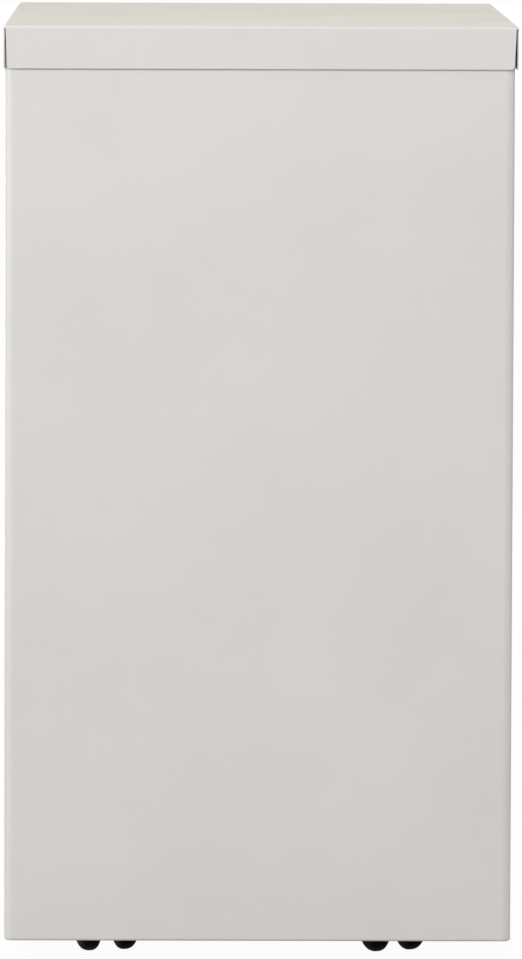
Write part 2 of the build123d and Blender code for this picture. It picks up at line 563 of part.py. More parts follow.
def caster_pieces():
    """Housing, axle and wheels, drawn with the stem on the Z axis and the trail towards -Y."""
    r = WHEEL_RADIUS
    t = CASTER_TRAIL
    seat = STEM_SEAT - STEM_FLANGE
    web = rod_x(r + 1.2, -WEB_HALF, WEB_HALF, -t, r)
    web = web - block(-WEB_HALF - 1, WEB_HALF + 1, -t - 2 * r, -t + 2 * r, -5, r * 0.65)
    wide = HOOD_HALF + 1
    hood = rod_x(r + HOOD_GAP + HOOD_THICKNESS, -HOOD_HALF, HOOD_HALF, -t, r)
    hood = hood - rod_x(r + HOOD_GAP, -wide, wide, -t, r)
    hood = hood - block(-wide, wide, -t - 2 * r, -t + 2 * r, -5, r)
    collar = rod_z(WEB_HALF, r + 2, seat, 0, 0)
    head = rod_z(9.0, 2 * r + 3.6, seat, 0, 0)
    bridge = block(-WEB_HALF, WEB_HALF, -t, 0, r + 2, seat - 4.4)
    housing = web + hood + collar + head + bridge
    housing = housing - rod_z(STEM_PIN_RADIUS + RUNNING, STEM_PIN_LOW - 0.3, seat + 1, 0, 0)
    housing = housing - rod_x(AXLE_RADIUS, -wide, wide, -t, r)
    axle = rod_x(AXLE_RADIUS, -AXLE_HALF - 0.1, AXLE_HALF + 0.1, -t, r)
    for side in (1, -1):
        axle = axle + rod_x(AXLE_HEAD_RADIUS, side * AXLE_HALF, side * (AXLE_HALF + AXLE_HEAD), -t, r)
    wheels = []
    for side in (1, -1):
        x0, x1 = WHEEL_GAP_HALF, WHEEL_OUTER
        wheel = rod_x(r, x0, x1, -t, r)
        rims = wheel.edges().filter_by(GeomType.CIRCLE)
        wheel = fillet(rims.group_by(Axis.X)[-1], WHEEL_SHOULDER_OUTER)
        wheel = fillet(wheel.edges().filter_by(GeomType.CIRCLE).group_by(Axis.X)[0], WHEEL_SHOULDER_INNER)
        recess = rod_x(r - WHEEL_SHOULDER_OUTER - 1.5, x1 - 2.5, x1 + 1, -t, r)
        recess = recess - rod_x(HUB_RADIUS, x1 - 4, x1 + 2, -t, r)
        wheel = wheel - recess - rod_x(AXLE_RADIUS + RUNNING, x0 - 1, x1 + 1, -t, r)
        wheels.append(mirrored(wheel, side))
    return housing, axle, wheels


def caster(place):
    x, y = CASTER_STEMS[place]
    where = Pos(x, y, 0) * Rot(0, 0, CASTER_TURN[place])
    housing, axle, wheels = caster_pieces()
    return {
        "housing": where * housing,
        "axle": where * axle,
        "wheel_a": where * wheels[0],
        "wheel_b": where * wheels[1],
    }


# ---------------------------------------------------------------- write every piece
save("case_wrapper", case_wrapper())
save("top_cap", top_cap())
save("base_pan", base_pan())
save("front_top_rail", front_top_rail())
save("counterweight", counterweight())
save("slide_screws", slide_screws())
save("caster_stems", caster_stems())
save("lock_housing", lock_housing())
save("lock_plug", lock_plug())
save("lock_cam", lock_cam())
save("lock_bar", lock_bar())

SIDES = {"left": -1, "right": 1}
for side_name, sign in SIDES.items():
    for end_name in ("front", "rear"):
        save("upright_" + end_name + "_" + side_name, upright(end_name, sign))

DRAWERS = {
    "upper": (UPPER_LOW, BOX_FRONT, BOX_SLIDE_LENGTH, BOX_TUB_HEIGHT, BOX_SLIDE_RISE),
    "middle": (MIDDLE_LOW, BOX_FRONT, BOX_SLIDE_LENGTH, BOX_TUB_HEIGHT, BOX_SLIDE_RISE),
    "file": (FILE_LOW, FILE_FRONT, FILE_SLIDE_LENGTH, FILE_TUB_HEIGHT, FILE_SLIDE_RISE),
}
for name, (low, height, length, tub_height, rise) in DRAWERS.items():
    middle = slide_middles()[name]
    three_part = name == "file"
    save(name + "_drawer_front", drawer_front(low, height, tub_height))
    save(name + "_drawer_pull", drawer_pull(low, height))
    save(name + "_drawer_tub", drawer_tub(low, length, tub_height, rise))
    for side_name, sign in SIDES.items():
        save(name + "_slide_" + side_name + "_rail", slide_rail(length, middle, sign))
        half = INNER_HALF if three_part else RUNNER_HALF
        reach = 8.4 if three_part else 9.9
        save(name + "_slide_" + side_name + "_runner", slide_runner(length, middle, sign, half, reach))
        if three_part:
            save(name + "_slide_" + side_name + "_link", slide_link(middle, sign))

RAIL_BALLS = (RUNNER_HALF + SLIDE_HEIGHT / 2 - HEAVY_SHEET) / 2
LINK_BALLS = (INNER_HALF + RUNNER_HALF - 1.0) / 2
BALL_X = X_UPRIGHT - 6.2
BOX_CAGE_Y = RAIL_FRONT + 4.0 + BOX_TRAVEL / 2
FILE_CAGE_Y = RAIL_FRONT + 58.5 + FILE_TRAVEL / 4
CAGES = {
    "upper_ball_cages": ("upper", RAIL_BALLS, BALL_X, BOX_CAGE_Y, 5, 18.0),
    "middle_ball_cages": ("middle", RAIL_BALLS, BALL_X, BOX_CAGE_Y, 5, 18.0),
    "file_outer_ball_cages": ("file", RAIL_BALLS, BALL_X, FILE_CAGE_Y, 6, 20.0),
    "file_inner_ball_cages": ("file", LINK_BALLS, BALL_X - 1.5, FILE_CAGE_Y + 8.0, 6, 20.0),
}
for name, (drawer, ball_height, x, y0, count, pitch) in CAGES.items():
    save(name, ball_cages(slide_middles()[drawer], ball_height, x, y0, count, pitch))

save("pencil_tray", pencil_tray(UPPER_LOW))
save("hang_rails", hang_rails())

for place in CASTER_STEMS:
    for piece, shape in caster(place).items():
        save("caster_" + place + "_" + piece, shape)
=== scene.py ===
import math

import bpy
from bpy.props import FloatProperty, FloatVectorProperty, PointerProperty
from mathutils import Matrix, Vector


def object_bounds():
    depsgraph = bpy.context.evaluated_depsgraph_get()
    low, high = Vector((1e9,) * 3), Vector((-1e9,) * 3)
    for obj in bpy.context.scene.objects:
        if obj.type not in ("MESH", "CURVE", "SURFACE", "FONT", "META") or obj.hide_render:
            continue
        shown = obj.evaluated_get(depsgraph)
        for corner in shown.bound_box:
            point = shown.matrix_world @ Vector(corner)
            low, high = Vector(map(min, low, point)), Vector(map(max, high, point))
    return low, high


bl_info = {
    "name": "Steel Mobile Pedestal",
    "version": (1, 0, 0),
    "blender": (4, 5, 0),
    "location": "View3D > Sidebar > Pedestal",
    "description": "Finishes for a steel mobile pedestal with three drawers, and its studio",
    "category": "Object",
}

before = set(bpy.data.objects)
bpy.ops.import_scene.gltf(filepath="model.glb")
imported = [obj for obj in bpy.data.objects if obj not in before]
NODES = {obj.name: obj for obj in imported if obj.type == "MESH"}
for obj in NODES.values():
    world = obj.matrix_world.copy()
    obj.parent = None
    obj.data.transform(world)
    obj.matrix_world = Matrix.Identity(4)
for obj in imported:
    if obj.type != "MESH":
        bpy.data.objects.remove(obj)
CAD_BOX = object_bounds()
DRAWERS = ("upper", "middle", "file")
SIDES = ("left", "right")
ENDS = ("front", "rear")
CASTERS = ("front_left", "front_right", "rear_left", "rear_right")

# How many waves, clouds, patches or specks of each pattern lie along a metre.
SHEET_WAVES, PAINT_CLOUDS, PAINT_GRAIN, GLOSS_PATCHES = 3.2, 6.5, 620.0, 11.0
RUB_PATCHES, RUB_BREAKS = 38.0, 420.0
DUST_PATCHES, DUST_SPECKS = 9.0, 900.0
PLATE_SMEARS, CRYSTAL_WARPS = 60.0, 190.0
PLASTIC_CLOUDS, FLOW_MARKS = 70.0, 24.0
SMUDGES, WIPE_MARKS = 240.0, 1900.0
CAST_LUMPS, CAST_PITS = 160.0, 700.0

# Heights of bumps, in metres.
RUB_LINE_DEPTH = 0.000012
CRYSTAL_DEPTH = 0.00004
WIPE_DEPTH = 0.000004
LUMP_DEPTH = 0.0005
PIT_DEPTH = 0.00012
CRYSTAL_SHIFT = 0.004

# Radii of eased edges, in metres.
PLATED_EDGE = 0.0002
POLISHED_EDGE = 0.0003
MOULDED_EDGE = 0.0005
CAST_EDGE = 0.0012

# Colours that no setting changes.
WHITE = (1.0, 1.0, 1.0)
WARM_LIGHT = (1.0, 0.88, 0.48)
RUSTY_IRON = (0.16, 0.11, 0.08)
SCUFFED_PLASTIC = (0.11, 0.11, 0.11)
DUST_ON_PLASTIC = (0.22, 0.21, 0.19)
CAGE_STEEL = (0.60, 0.61, 0.62)

# How far a pattern is stretched along each axis, for lines that run along Y, Z or not at all.
ALONG_Y = (1.0, 0.03, 1.0)
ALONG_Z = (1.0, 1.0, 0.03)
EVEN = (1.0, 1.0, 1.0)

SENSOR_WIDTH = 36.0
FLOOR_SIZE = 30.0
FLOOR_TONE = 0.95
FLOOR_IN_GLOSS = 0.3
FRONT_LAMP_HEIGHT = 0.36


# ---------------------------------------------------------------- settings
def colour(name, description, default):
    return FloatVectorProperty(name=name, description=description, default=default,
                               subtype="COLOR", size=3, min=0.0, max=1.0)


def length(name, description, default, **limits):
    return FloatProperty(name=name, description=description, default=default,
                         subtype="DISTANCE", unit="LENGTH", precision=5, **limits)


def share(name, description, default):
    return FloatProperty(name=name, description=description, default=default,
                         subtype="FACTOR", min=0.0, max=1.0)


def angle(name, description, default):
    return FloatProperty(name=name, description=description, default=default,
                         subtype="ANGLE", unit="ROTATION")


def power(name, description, default):
    return FloatProperty(name=name, description=description, default=default,
                         subtype="POWER", unit="POWER", min=0.0)


class PedestalPaint(bpy.types.PropertyGroup):
    """Powder coat on the case, the drawer fronts and the tubs."""
    case_colour: colour("Case colour", "Powder coat on the case and cap", (0.66, 0.641, 0.625))
    front_colour: colour("Front colour", "Powder coat on the drawer fronts and pulls",
                         (0.66, 0.641, 0.625))
    tub_colour: colour("Tub colour", "Thin powder coat inside the drawers", (0.50, 0.49, 0.475))
    steel_colour: colour("Bare steel", "Steel that shows where paint is worn off an edge",
                         (0.42, 0.41, 0.40))
    # Part real dust, part painted shade: on the cap this yellow darkens and warms the top.
    dust_and_top_shade_colour: colour("Dust and top shade colour", "Dust that settles on flat tops", (0.49, 0.465, 0.31))
    roughness: share("Roughness", "Roughness of the powder coat", 0.40)
    peel_size: length("Orange peel size", "Distance between the bumps of the powder coat",
                      0.0016, min=0.0002)
    peel_depth: length("Orange peel depth", "Height of the bumps of the powder coat",
                       0.000014, min=0.0)
    sheet_wave: length("Sheet wave", "How far a wide flat sheet waves", 0.00005, min=0.0)
    edge_radius: length("Edge radius", "Radius that the light sees on a cut or folded edge",
                        0.00035, min=0.0)
    wear: share("Edge wear", "How much paint is rubbed thin along edges", 0.16)


class PedestalMetal(bpy.types.PropertyGroup):
    """Plated, galvanised and cast metal."""
    zinc_colour: colour("Zinc plate", "Bright zinc on slides and fasteners", (0.62, 0.64, 0.66))
    galvanised_colour: colour("Galvanised sheet", "Zinc-coated sheet of the uprights",
                              (0.50, 0.52, 0.53))
    chrome_colour: colour("Lock plating", "Bright plate on the lock", (0.70, 0.71, 0.72))
    cast_colour: colour("Counterweight", "Black dip on the cast counterweight",
                        (0.020, 0.020, 0.022))
    rail_colour: colour("Folder rail", "Satin aluminium of the folder rails", (0.62, 0.63, 0.64))
    spangle_size: length("Spangle size", "Width of a zinc crystal on galvanised sheet",
                         0.007, min=0.0005)
    rub_width: length("Rub line width", "Width of the rubbed lines along a slide",
                      0.0009, min=0.0001)


class PedestalPlastic(bpy.types.PropertyGroup):
    """Moulded plastic of the tray and the casters."""
    tray_colour: colour("Pencil tray", "Moulded plastic of the pencil tray", (0.018, 0.018, 0.020))
    hood_colour: colour("Caster hood", "Moulded nylon of the caster housings",
                        (0.0085, 0.0085, 0.0090))
    tread_colour: colour("Caster wheel", "Moulded nylon of the wheels", (0.0095, 0.0095, 0.0100))
    grain_size: length("Grain size", "Distance between the pits of the moulded grain",
                       0.0006, min=0.0001)
    grain_depth: length("Grain depth", "Depth of the moulded grain", 0.00003, min=0.0)


class PedestalStage(bpy.types.PropertyGroup):
    """Camera, lamps and floor."""
    camera_place: FloatVectorProperty(
        name="Camera place", description="Where the camera stands",
        default=(0.05308, 6.70030, 0.90618), subtype="XYZ", unit="LENGTH", size=3)
    camera_pitch: angle("Camera pitch", "How far the camera looks down", 0.0841917)
    camera_yaw: angle("Camera yaw", "How far the camera looks to one side", -0.0085393)
    camera_roll: angle("Camera roll", "How far the camera leans", 0.0033317)
    lens: FloatProperty(name="Lens", description="Focal length in millimetres on a 36 mm sensor",
                        default=322.465, min=10.0)
    key_power: power("Key lamp", "Power of the wide lamp in front of the back panel", 63.8)
    top_power: power("Top lamp", "Power of the overhead lamp", 7.0)
    side_power: power("Side lamp", "Power of the narrow lamp at the side", 30.0)
    fill_power: power("Fill lamp", "Power of the weak lamp at the other side", 12.0)
    front_power: power("Front lamp", "Power of the lamp that lights the drawers", 40.0)
    sky: FloatProperty(name="Sky", description="Strength of the even light all round",
                       default=0.40, min=0.0)
    floor_shadow: share("Floor shadow", "How much of the floor's own shading shows", 0.035)
    floor_bounce: share("Floor bounce", "How much light the floor throws onto the object", 0.50)


SETTINGS = (("pedestal_paint", PedestalPaint), ("pedestal_metal", PedestalMetal),
            ("pedestal_plastic", PedestalPlastic), ("pedestal_stage", PedestalStage))


# ---------------------------------------------------------------- node helpers
class Graph:
    """A node tree and a short way to add nodes to it and join them."""

    def __init__(self, tree):
        self.tree = tree
        self.nodes = tree.nodes
        self.column = 0

    def add(self, kind, **values):
        node = self.nodes.new(kind)
        node.location = (self.column * 190 - 1400, 0)
        self.column += 1
        for key, value in values.items():
            setattr(node, key, value)
        return node

    def join(self, output, socket):
        self.tree.links.new(output, socket)

    def put(self, socket, value):
        """Joins an output to a socket, or sets the socket to a plain value."""
        if isinstance(value, bpy.types.NodeSocket):
            self.join(value, socket)
        elif hasattr(value, "__len__") and len(value) == 3 and socket.type == "RGBA":
            socket.default_value = (*value, 1.0)
        else:
            socket.default_value = value

    def math(self, operation, a, b=0.0, clamp=False):
        node = self.add("ShaderNodeMath", operation=operation, use_clamp=clamp)
        self.put(node.inputs[0], a)
        self.put(node.inputs[1], b)
        return node.outputs[0]

    def ramp(self, value, low, high, out_low=0.0, out_high=1.0):
        node = self.add("ShaderNodeMapRange", interpolation_type="SMOOTHSTEP")
        for name, item in (("Value", value), ("From Min", low), ("From Max", high),
                           ("To Min", out_low), ("To Max", out_high)):
            self.put(node.inputs[name], item)
        return node.outputs["Result"]

    def mix(self, factor, a, b):
        node = self.add("ShaderNodeMix", data_type="RGBA", blend_type="MIX")
        self.put(node.inputs[0], factor)
        self.put(node.inputs[6], a)
        self.put(node.inputs[7], b)
        return node.outputs[2]

    def noise(self, place, scale, detail=2.0, roughness=0.5):
        node = self.add("ShaderNodeTexNoise")
        self.put(node.inputs["Vector"], place)
        self.put(node.inputs["Scale"], scale)
        self.put(node.inputs["Detail"], detail)
        self.put(node.inputs["Roughness"], roughness)
        return node.outputs["Fac"]

    def group(self, name, **values):
        node = self.add("ShaderNodeGroup", node_tree=bpy.data.node_groups[name])
        for key, value in values.items():
            self.put(node.inputs[key.replace("_", " ")], value)
        return node.outputs


def new_group(name, inputs, outputs):
    """An empty node group with named inputs and outputs, and its Graph, input and output nodes."""
    tree = bpy.data.node_groups.new(name, "ShaderNodeTree")
    for label, kind, default in inputs:
        socket = tree.interface.new_socket(name=label, in_out="INPUT",
                                           socket_type="NodeSocket" + kind)
        if default is not None:
            socket.default_value = default
    for label, kind in outputs:
        tree.interface.new_socket(name=label, in_out="OUTPUT", socket_type="NodeSocket" + kind)
    graph = Graph(tree)
    return graph, graph.add("NodeGroupInput").outputs, graph.add("NodeGroupOutput").inputs


def group_powder_skin():
    """Orange peel, slow waves of the sheet and a faint mottling of powder coat."""
    g, given, out = new_group(
        "Powder Skin",
        [("Place", "Vector", None), ("Peel Size", "Float", 0.0016),
         ("Peel Depth", "Float", 0.00002), ("Wave Depth", "Float", 0.0001)],
        [("Height", "Float"), ("Mottle", "Float"), ("Gloss Change", "Float")])
    peels = g.math("DIVIDE", 1.0, given["Peel Size"])
    peel = g.noise(given["Place"], peels, 2.0, 0.45)
    wave = g.noise(given["Place"], SHEET_WAVES, 1.0, 0.4)
    height = g.math("ADD", g.math("MULTIPLY", peel, given["Peel Depth"]),
                    g.math("MULTIPLY", wave, given["Wave Depth"]))
    g.put(out["Height"], height)
    cloud = g.noise(given["Place"], PAINT_CLOUDS, 3.0, 0.55)
    grain = g.noise(given["Place"], PAINT_GRAIN, 1.0, 0.5)
    g.put(out["Mottle"], g.math("ADD", g.math("MULTIPLY", cloud, 0.75),
                                g.math("MULTIPLY", grain, 0.25)))
    g.put(out["Gloss Change"], g.noise(given["Place"], GLOSS_PATCHES, 4.0, 0.6))


def group_eased_edge():
    """The normal of a slightly rounded edge, and a mask that is 1 on the edge."""
    g, given, out = new_group(
        "Eased Edge", [("Radius", "Float", 0.0004)], [("Normal", "Vector"), ("Edge", "Float")])
    bevel = g.add("ShaderNodeBevel", samples=4)
    g.put(bevel.inputs["Radius"], given["Radius"])
    geometry = g.add("ShaderNodeNewGeometry")
    dot = g.add("ShaderNodeVectorMath", operation="DOT_PRODUCT")
    g.put(dot.inputs[0], bevel.outputs["Normal"])
    g.put(dot.inputs[1], geometry.outputs["Normal"])
    turned = g.math("SUBTRACT", 1.0, dot.outputs["Value"])
    g.put(out["Normal"], bevel.outputs["Normal"])
    g.put(out["Edge"], g.ramp(turned, 0.01, 0.14))


def group_edge_rub():
    """Where hands and boxes have rubbed an edge thin, broken up so that it isn't even."""
    g, given, out = new_group(
        "Edge Rub", [("Place", "Vector", None), ("Edge", "Float", 0.0), ("Amount", "Float", 0.2)],
        [("Worn", "Float")])
    patch = g.ramp(g.noise(given["Place"], RUB_PATCHES, 4.0, 0.65), 0.44, 0.66)
    fine = g.ramp(g.noise(given["Place"], RUB_BREAKS, 3.0, 0.6), 0.35, 0.65)
    broken = g.math("MULTIPLY", given["Edge"], g.math("MULTIPLY", patch, fine))
    g.put(out["Worn"], g.math("MULTIPLY", broken, given["Amount"], True))


def group_settled_dust():
    """Dust on surfaces that face up, thicker in patches; on the cap this mask also lays painted
    shade on the top.
    """
    g, given, out = new_group(
        "Settled Dust", [("Place", "Vector", None), ("Amount", "Float", 0.1)], [("Dust", "Float")])
    geometry = g.add("ShaderNodeNewGeometry")
    split = g.add("ShaderNodeSeparateXYZ")
    g.put(split.inputs[0], geometry.outputs["Normal"])
    facing = g.ramp(split.outputs["Z"], 0.35, 0.95)
    patch = g.noise(given["Place"], DUST_PATCHES, 5.0, 0.6)
    speck = g.ramp(g.noise(given["Place"], DUST_SPECKS, 2.0, 0.5), 0.42, 0.72, 0.55, 1.0)
    cover = g.math("MULTIPLY", g.math("MULTIPLY", patch, speck), given["Amount"])
    g.put(out["Dust"], g.math("MULTIPLY", facing, cover, True))


def group_rubbed_lines():
    """Fine lines along one axis, as plating gets from rolling balls and from its own rolling."""
    g, given, out = new_group(
        "Rubbed Lines",
        [("Place", "Vector", None), ("Line Width", "Float", 0.001), ("Stretch", "Vector", None)],
        [("Lines", "Float"), ("Smear", "Float")])
    scaled = g.add("ShaderNodeVectorMath", operation="MULTIPLY")
    g.put(scaled.inputs[0], given["Place"])
    g.put(scaled.inputs[1], given["Stretch"])
    lines = g.math("DIVIDE", 1.0, given["Line Width"])
    g.put(out["Lines"], g.noise(scaled.outputs[0], lines, 3.0, 0.6))
    g.put(out["Smear"], g.noise(scaled.outputs[0], PLATE_SMEARS, 3.0, 0.55))


def group_zinc_spangle():
    """Flat crystals of galvanised sheet, each with its own tone and shine."""
    g, given, out = new_group(
        "Zinc Spangle", [("Place", "Vector", None), ("Crystal Size", "Float", 0.007)],
        [("Tone", "Float"), ("Shine", "Float"), ("Height", "Float")])
    warp = g.add("ShaderNodeTexNoise")
    g.put(warp.inputs["Vector"], given["Place"])
    warp.inputs["Scale"].default_value = CRYSTAL_WARPS
    warp.inputs["Detail"].default_value = 2.0
    shift = g.add("ShaderNodeVectorMath", operation="MULTIPLY_ADD")
    g.put(shift.inputs[0], warp.outputs["Color"])
    shift.inputs[1].default_value = (CRYSTAL_SHIFT,) * 3
    g.put(shift.inputs[2], given["Place"])
    cells = g.add("ShaderNodeTexVoronoi", feature="F1", distance="EUCLIDEAN")
    g.put(cells.inputs["Vector"], shift.outputs[0])
    g.put(cells.inputs["Scale"], g.math("DIVIDE", 1.0, given["Crystal Size"]))
    parts = g.add("ShaderNodeSeparateColor")
    g.put(parts.inputs[0], cells.outputs["Color"])
    g.put(out["Tone"], parts.outputs[0])
    g.put(out["Shine"], parts.outputs[1])
    g.put(out["Height"], cells.outputs["Distance"])


def group_moulded_grain():
    """Pitted grain of moulded plastic, with flow marks that only change its shine."""
    g, given, out = new_group(
        "Moulded Grain",
        [("Place", "Vector", None), ("Grain Size", "Float", 0.0006),
         ("Grain Depth", "Float", 0.00003)],
        [("Height", "Float"), ("Tone", "Float"), ("Flow", "Float")])
    pits = g.noise(given["Place"], g.math("DIVIDE", 1.0, given["Grain Size"]), 2.0, 0.55)
    g.put(out["Height"], g.math("MULTIPLY", pits, given["Grain Depth"]))
    g.put(out["Tone"], g.noise(given["Place"], PLASTIC_CLOUDS, 4.0, 0.6))
    g.put(out["Flow"], g.noise(given["Place"], FLOW_MARKS, 3.0, 0.7))


GROUPS = (group_powder_skin, group_eased_edge, group_edge_rub, group_settled_dust,
          group_rubbed_lines, group_zinc_spangle, group_moulded_grain)


# ---------------------------------------------------------------- materials
def start_material(name, **constants):
    """A new material with its graph, its Principled shader and the place that its patterns use."""
    material = bpy.data.materials.new(name)
    material.use_nodes = True
    material.node_tree.nodes.clear()
    g = Graph(material.node_tree)
    place = g.add("ShaderNodeTexCoord").outputs["Object"]
    shader = g.nodes.new("ShaderNodeBsdfPrincipled")
    shader.location = (1200, 0)
    output = g.nodes.new("ShaderNodeOutputMaterial")
    output.location = (1500, 0)
    g.join(shader.outputs[0], output.inputs[0])
    for key, value in constants.items():
        shader.inputs[key.replace("_", " ")].default_value = value
    return material, g, place, shader


def bump(g, shader, height, normal):
    """Feeds the shader's Normal from a height in metres on top of an eased edge."""
    node = g.add("ShaderNodeBump")
    node.inputs["Strength"].default_value = 1.0
    node.inputs["Distance"].default_value = 1.0
    g.put(node.inputs["Height"], height)
    g.put(node.inputs["Normal"], normal)
    g.put(shader.inputs["Normal"], node.outputs[0])


def tinted(base, factor):
    """A colour made lighter or darker."""
    return tuple(max(0.0, min(1.0, c * factor)) for c in base)


def powder_coat(name, base, paint, dust=0.08, wave=1.0):
    """Satin powder coat over steel."""
    material, g, place, shader = start_material(name, Specular_IOR_Level=0.42)
    skin = g.group("Powder Skin", Place=place, Peel_Size=paint.peel_size,
                   Peel_Depth=paint.peel_depth, Wave_Depth=paint.sheet_wave * wave)
    edge = g.group("Eased Edge", Radius=paint.edge_radius)
    worn = g.group("Edge Rub", Place=place, Edge=edge["Edge"], Amount=paint.wear)["Worn"]
    # The settled dust is real dust, and on the cap also painted shade that darkens and warms the
    # top.
    settled = g.group("Settled Dust", Place=place, Amount=dust)["Dust"]
    coat = g.mix(g.ramp(skin["Mottle"], 0.30, 0.70), tinted(base, 0.978), tinted(base, 1.022))
    coat = g.mix(settled, coat, tuple(paint.dust_and_top_shade_colour))
    coat = g.mix(worn, coat, tuple(paint.steel_colour))
    g.put(shader.inputs["Base Color"], coat)
    rough = g.ramp(skin["Gloss Change"], 0.25, 0.75, paint.roughness - 0.035,
                   paint.roughness + 0.045)
    rough = g.math("ADD", rough, g.math("MULTIPLY", settled, 0.5), True)
    g.put(shader.inputs["Roughness"], rough)
    g.put(shader.inputs["Metallic"], g.math("MULTIPLY", worn, 0.7))
    bump(g, shader, skin["Height"], edge["Normal"])
    return material


def plated(name, base, metal, stretch, rough=0.26, dark=0.72):
    """Plated steel with lines along its length."""
    material, g, place, shader = start_material(name, Metallic=1.0)
    lines = g.group("Rubbed Lines", Place=place, Line_Width=metal.rub_width, Stretch=stretch)
    edge = g.group("Eased Edge", Radius=PLATED_EDGE)
    tone = g.mix(g.ramp(lines["Smear"], 0.32, 0.70), tinted(base, dark), base)
    tone = g.mix(g.ramp(lines["Lines"], 0.40, 0.66, 0.0, 0.35), tone, tinted(base, 1.12))
    g.put(shader.inputs["Base Color"], tone)
    g.put(shader.inputs["Roughness"],
          g.ramp(lines["Lines"], 0.30, 0.72, rough - 0.06, rough + 0.16))
    bump(g, shader, g.math("MULTIPLY", lines["Lines"], RUB_LINE_DEPTH), edge["Normal"])
    return material


def galvanised(name, base, metal):
    """Zinc-coated sheet with its crystals."""
    material, g, place, shader = start_material(name, Metallic=1.0)
    spangle = g.group("Zinc Spangle", Place=place, Crystal_Size=metal.spangle_size)
    edge = g.group("Eased Edge", Radius=PLATED_EDGE)
    tone = g.mix(spangle["Tone"], tinted(base, 0.80), tinted(base, 1.16))
    g.put(shader.inputs["Base Color"], tone)
    g.put(shader.inputs["Roughness"], g.ramp(spangle["Shine"], 0.0, 1.0, 0.30, 0.52))
    bump(g, shader, g.math("MULTIPLY", spangle["Height"], CRYSTAL_DEPTH), edge["Normal"])
    return material


def polished(name, base, rough=0.10):
    """Bright plate with faint wiping marks."""
    material, g, place, shader = start_material(name, Metallic=1.0)
    smudge = g.noise(place, SMUDGES, 4.0, 0.6)
    fine = g.noise(place, WIPE_MARKS, 2.0, 0.5)
    edge = g.group("Eased Edge", Radius=POLISHED_EDGE)
    g.put(shader.inputs["Base Color"], g.mix(g.ramp(smudge, 0.35, 0.75), base, tinted(base, 0.86)))
    g.put(shader.inputs["Roughness"], g.ramp(smudge, 0.30, 0.75, rough, rough + 0.14))
    bump(g, shader, g.math("MULTIPLY", fine, WIPE_DEPTH), edge["Normal"])
    return material


def dipped_casting(name, base):
    """Rough iron casting under a black dip."""
    material, g, place, shader = start_material(name, Specular_IOR_Level=0.4)
    lumps = g.noise(place, CAST_LUMPS, 5.0, 0.62)
    pits = g.noise(place, CAST_PITS, 3.0, 0.6)
    edge = g.group("Eased Edge", Radius=CAST_EDGE)
    worn = g.group("Edge Rub", Place=place, Edge=edge["Edge"], Amount=0.8)["Worn"]
    tone = g.mix(g.ramp(lumps, 0.3, 0.7), base, tinted(base, 1.9))
    g.put(shader.inputs["Base Color"], g.mix(worn, tone, RUSTY_IRON))
    g.put(shader.inputs["Roughness"], g.ramp(pits, 0.3, 0.7, 0.48, 0.72))
    height = g.math("ADD", g.math("MULTIPLY", lumps, LUMP_DEPTH),
                    g.math("MULTIPLY", pits, PIT_DEPTH))
    bump(g, shader, height, edge["Normal"])
    return material


def moulded(name, base, plastic, rough=0.46, dust=0.2, scuff=0.25, shine=0.45):
    """Moulded plastic with a fine grain, scuffed pale along its edges."""
    material, g, place, shader = start_material(name, Specular_IOR_Level=shine)
    grain = g.group("Moulded Grain", Place=place, Grain_Size=plastic.grain_size,
                    Grain_Depth=plastic.grain_depth)
    edge = g.group("Eased Edge", Radius=MOULDED_EDGE)
    rubbed = g.group("Edge Rub", Place=place, Edge=edge["Edge"], Amount=scuff)["Worn"]
    settled = g.group("Settled Dust", Place=place, Amount=dust)["Dust"]
    tone = g.mix(g.ramp(grain["Tone"], 0.3, 0.7), tinted(base, 0.85), tinted(base, 1.25))
    tone = g.mix(rubbed, tone, SCUFFED_PLASTIC)
    g.put(shader.inputs["Base Color"], g.mix(settled, tone, DUST_ON_PLASTIC))
    g.put(shader.inputs["Roughness"], g.ramp(grain["Flow"], 0.3, 0.7, rough - 0.06, rough + 0.08))
    bump(g, shader, grain["Height"], edge["Normal"])
    return material


def give(material, *names):
    """Puts one material on whole CAD nodes."""
    for name in names:
        slots = NODES[name].data.materials
        slots.clear()
        slots.append(material)


# ---------------------------------------------------------------- operators
class PEDESTAL_OT_groups(bpy.types.Operator):
    """Make the shared finish effects as node groups"""
    bl_idname = "pedestal.groups"
    bl_label = "Make finish effects"

    def execute(self, context):
        for build in GROUPS:
            build()
        return {"FINISHED"}


class PEDESTAL_OT_case(bpy.types.Operator):
    """Powder coat the wrapped case, the cap, the base pan and the rail under the cap"""
    bl_idname = "pedestal.case"
    bl_label = "Case and cap"

    def execute(self, context):
        paint = context.scene.pedestal_paint
        base = tuple(paint.case_colour)
        give(powder_coat("Wrapper powder coat", base, paint, dust=0.03), "case_wrapper")
        # The cap's heavy dust is partly real dust and partly painted shade that darkens and warms
        # its top.
        give(powder_coat("Cap powder coat and painted shade", base, paint, dust=0.45), "top_cap")
        give(powder_coat("Base powder coat", tinted(base, 0.97), paint, dust=0.30), "base_pan")
        give(powder_coat("Rail powder coat", base, paint, dust=0.12, wave=0.3), "front_top_rail")
        return {"FINISHED"}


class PEDESTAL_OT_fronts(bpy.types.Operator):
    """Powder coat the drawer fronts and their finger pulls"""
    bl_idname = "pedestal.fronts"
    bl_label = "Drawer fronts and pulls"

    def execute(self, context):
        paint = context.scene.pedestal_paint
        base = tuple(paint.front_colour)
        front = powder_coat("Front powder coat", base, paint, dust=0.10, wave=0.6)
        pull = powder_coat("Pull powder coat", tinted(base, 0.985), paint, dust=0.22, wave=0.2)
        give(front, *[d + "_drawer_front" for d in DRAWERS])
        give(pull, *[d + "_drawer_pull" for d in DRAWERS])
        return {"FINISHED"}


